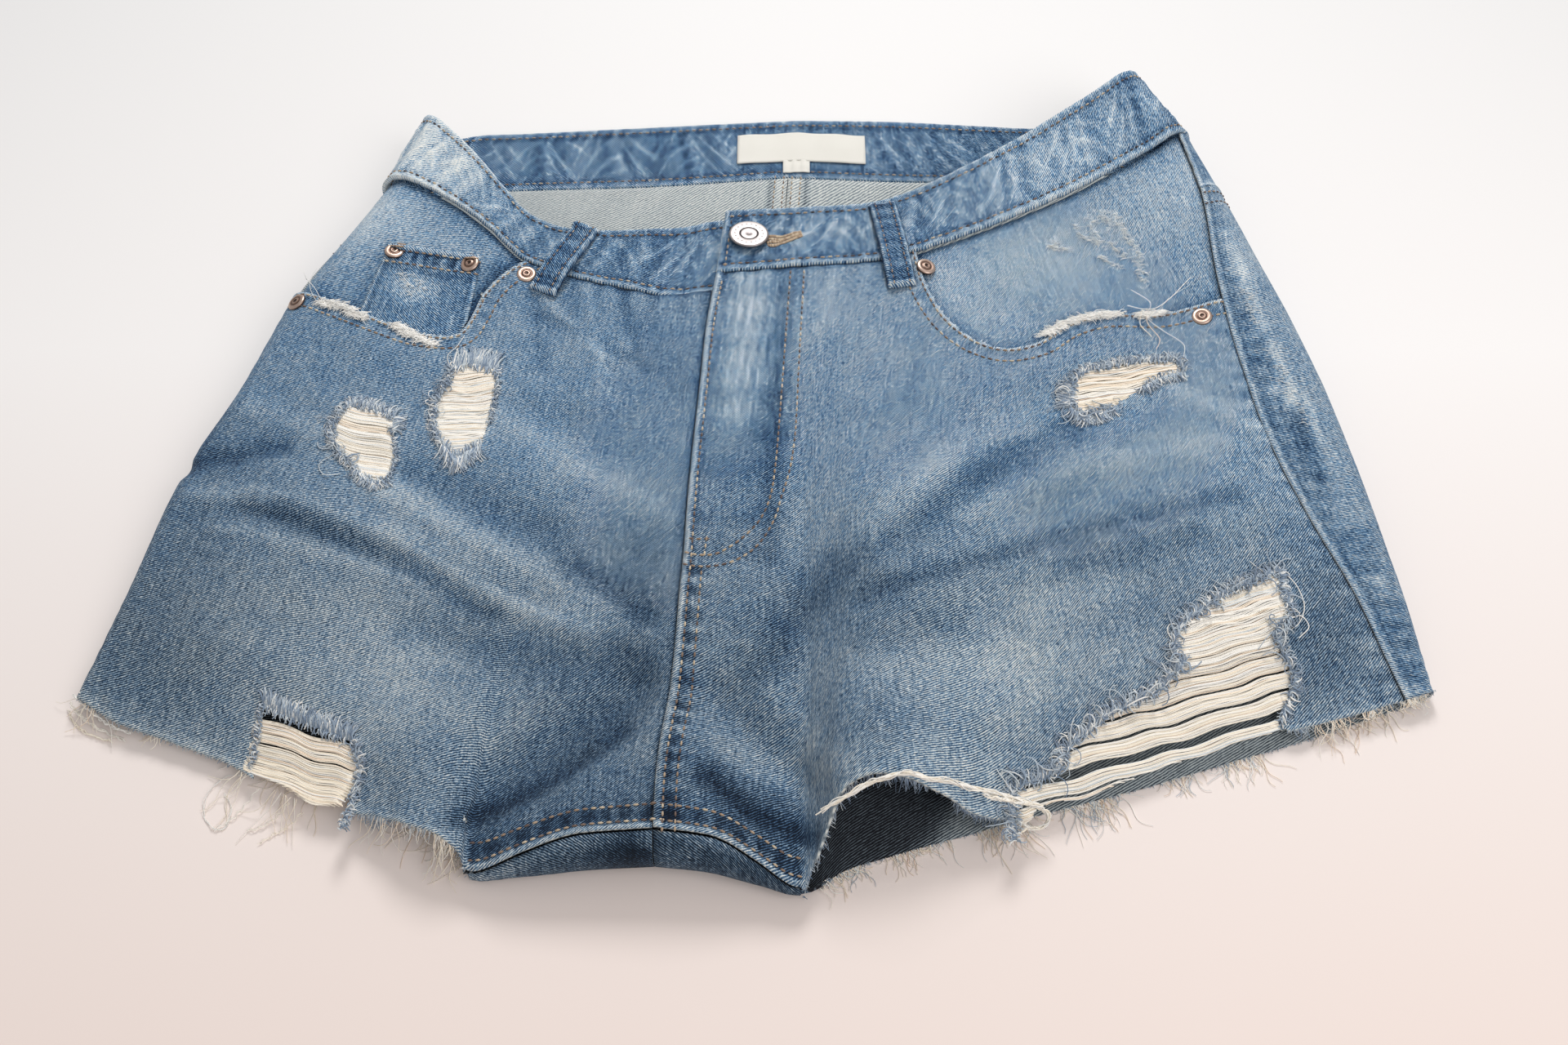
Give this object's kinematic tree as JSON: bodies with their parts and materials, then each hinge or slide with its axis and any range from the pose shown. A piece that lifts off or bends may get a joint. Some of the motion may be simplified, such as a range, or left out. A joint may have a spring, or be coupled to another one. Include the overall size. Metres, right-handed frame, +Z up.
{
  "type": "denim shorts",
  "caption": "Cut-off denim shorts laid flat, front up, with scoop pockets, coin pocket, belt loops, tack button and frayed, torn hems",
  "frame": {"origin": "the point on the table under the middle of the box", "axes": "+X toward the wearer's left leg, +Y toward the waist, +Z up from the table"},
  "size_m": [0.5281, 0.4076, 0.043],
  "materials": {
    "denim": "washed twill",
    "cream_thread": "ravelled cotton",
    "copper": "worn copper",
    "nickel": "satin",
    "label_cloth": "woven"
  },
  "bodies": {
    "root": {"back_left": "denim", "back_pocket_left": "denim", "back_pocket_right": "denim", "back_right": "denim", "belt_loop_1": "denim", "belt_loop_2": "denim", "belt_loop_3": "denim", "belt_loop_4": "denim", "belt_loop_5": "denim", "button": "nickel", "coin_pocket": "denim", "fringe_back_left": "cream_thread", "fringe_back_right": "cream_thread", "fringe_front_left": "cream_thread", "fringe_front_right": "cream_thread", "front_left": "denim", "front_right": "denim", "label": "label_cloth", "label_tab": "label_cloth", "pocket_facing_left": "denim", "pocket_facing_right": "denim", "rivet_1": "copper", "rivet_2": "copper", "rivet_3": "copper", "rivet_4": "copper", "rivet_5": "copper", "rivet_6": "copper", "waistband": "denim", "yoke_left": "denim", "yoke_right": "denim"}
  },
  "joints": []
}
